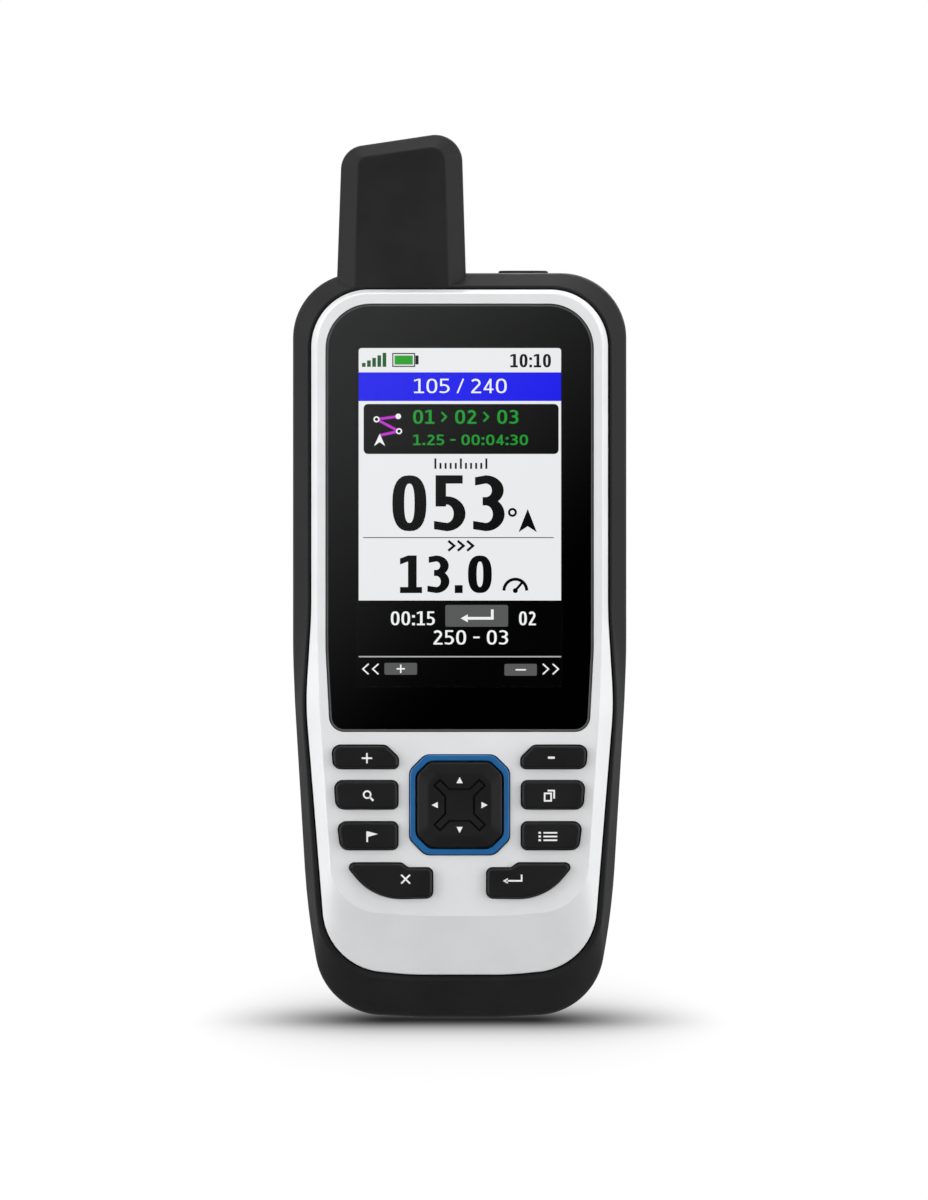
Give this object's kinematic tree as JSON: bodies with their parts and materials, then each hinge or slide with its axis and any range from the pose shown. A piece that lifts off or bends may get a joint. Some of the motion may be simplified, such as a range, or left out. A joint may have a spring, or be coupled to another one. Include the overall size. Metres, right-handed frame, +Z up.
{
  "type": "handheld satellite navigator",
  "caption": "Upright handheld satellite navigator with an offset stub antenna, a tall display, a rocker pad among function keys, a top power button, a rear port door and a rear mount rail.",
  "frame": {"origin": "middle of the underside of the bounding box", "axes": "+Z up along the length to the antenna tip, +X to the user's right, the display faces -Y"},
  "size_m": [0.0676, 0.044, 0.1792],
  "materials": {
    "black_housing": "matte",
    "black_rubber": "matte",
    "key_rubber": "satin",
    "grey_silicone": "matte",
    "white_plastic": "satin",
    "window_glass": "gloss",
    "black_mask": "gloss",
    "lcd_glass": "gloss",
    "light_guide": "gloss",
    "steel": "satin",
    "flex_film": "satin",
    "blue_anodised": "satin",
    "nylon": "matte",
    "dark_plastic": "satin",
    "circuit_board": "satin",
    "battery_wrap": "satin",
    "lead_insulation": "satin",
    "antenna_ceramic": "satin",
    "brass": "satin"
  },
  "bodies": {
    "housing": {"antenna_board": "circuit_board", "antenna_coax": "lead_insulation", "antenna_cover": "black_housing", "antenna_element": "antenna_ceramic", "antenna_screws": "steel", "antenna_seal": "grey_silicone", "battery_bracket": "nylon", "battery_lead": "lead_insulation", "battery_pack": "battery_wrap", "beeper": "dark_plastic", "board_screws": "steel", "bracket_screws": "steel", "display_window": "window_glass", "front_bezel": "white_plastic", "front_housing": "black_housing", "housing_gasket": "grey_silicone", "housing_screws": "steel", "keypad_membrane": "grey_silicone", "lanyard_eye": "black_housing", "lcd_backlight": "light_guide", "lcd_bracket": "steel", "lcd_flex": "flex_film", "lcd_panel": "lcd_glass", "main_board": "circuit_board", "mount_rail": "black_housing", "port_door_pin": "steel", "power_button_seal": "black_rubber", "power_switch": "dark_plastic", "power_switch_board": "circuit_board", "rail_screws": "steel", "rear_housing": "black_housing", "rocker_post": "nylon", "rocker_trim_ring": "blue_anodised", "shield_cans": "steel", "switch_domes": "steel", "threaded_inserts": "brass", "usb_board": "circuit_board", "usb_connector": "steel", "usb_flex": "flex_film", "vent_membrane": "nylon", "window_adhesive_frame": "black_mask"},
    "zoom_in_key": {"zoom_in_key": "key_rubber"},
    "zoom_out_key": {"zoom_out_key": "key_rubber"},
    "find_key": {"find_key": "key_rubber"},
    "page_key": {"page_key": "key_rubber"},
    "mark_key": {"mark_key": "key_rubber"},
    "menu_key": {"menu_key": "key_rubber"},
    "quit_key": {"quit_key": "key_rubber"},
    "enter_key": {"enter_key": "key_rubber"},
    "rocker_pivot": {"rocker_pivot": "nylon"},
    "rocker_cap": {"rocker_cap": "key_rubber"},
    "power_button": {"power_button": "black_rubber"},
    "port_door": {"port_door": "black_rubber", "port_door_seal": "black_rubber"}
  },
  "joints": [
    {"name": "zoom_in_press", "type": "slide", "parent": "housing", "child": "zoom_in_key", "axis": [0, 1, 0], "range_m": [0, 0.0008], "stiffness_N_per_m": 1200},
    {"name": "zoom_out_press", "type": "slide", "parent": "housing", "child": "zoom_out_key", "axis": [0, 1, 0], "range_m": [0, 0.0008], "stiffness_N_per_m": 1200},
    {"name": "find_press", "type": "slide", "parent": "housing", "child": "find_key", "axis": [0, 1, 0], "range_m": [0, 0.0008], "stiffness_N_per_m": 1200},
    {"name": "page_press", "type": "slide", "parent": "housing", "child": "page_key", "axis": [0, 1, 0], "range_m": [0, 0.0008], "stiffness_N_per_m": 1200},
    {"name": "mark_press", "type": "slide", "parent": "housing", "child": "mark_key", "axis": [0, 1, 0], "range_m": [0, 0.0008], "stiffness_N_per_m": 1200},
    {"name": "menu_press", "type": "slide", "parent": "housing", "child": "menu_key", "axis": [0, 1, 0], "range_m": [0, 0.0008], "stiffness_N_per_m": 1200},
    {"name": "quit_press", "type": "slide", "parent": "housing", "child": "quit_key", "axis": [0, 1, 0], "range_m": [0, 0.0008], "stiffness_N_per_m": 1200},
    {"name": "enter_press", "type": "slide", "parent": "housing", "child": "enter_key", "axis": [0, 1, 0], "range_m": [0, 0.0008], "stiffness_N_per_m": 1200},
    {"name": "rocker_left_right", "type": "hinge", "parent": "housing", "child": "rocker_pivot", "pos_m": [0, -0.0173, 0.04345], "axis": [0, 0, 1], "range_deg": [-3.5, 3.5], "stiffness_Nm_per_rad": 0.2},
    {"name": "rocker_up_down", "type": "hinge", "parent": "rocker_pivot", "child": "rocker_cap", "pos_m": [0, -0.0173, 0.04345], "axis": [1, 0, 0], "range_deg": [-3.5, 3.5], "stiffness_Nm_per_rad": 0.2},
    {"name": "power_press", "type": "slide", "parent": "housing", "child": "power_button", "axis": [0, 0, -1], "range_m": [0, 0.0006], "stiffness_N_per_m": 1500},
    {"name": "port_door_hinge", "type": "hinge", "parent": "housing", "child": "port_door", "pos_m": [0, 0.0144, 0.0512], "axis": [1, 0, 0], "range_deg": [0, 110]}
  ]
}
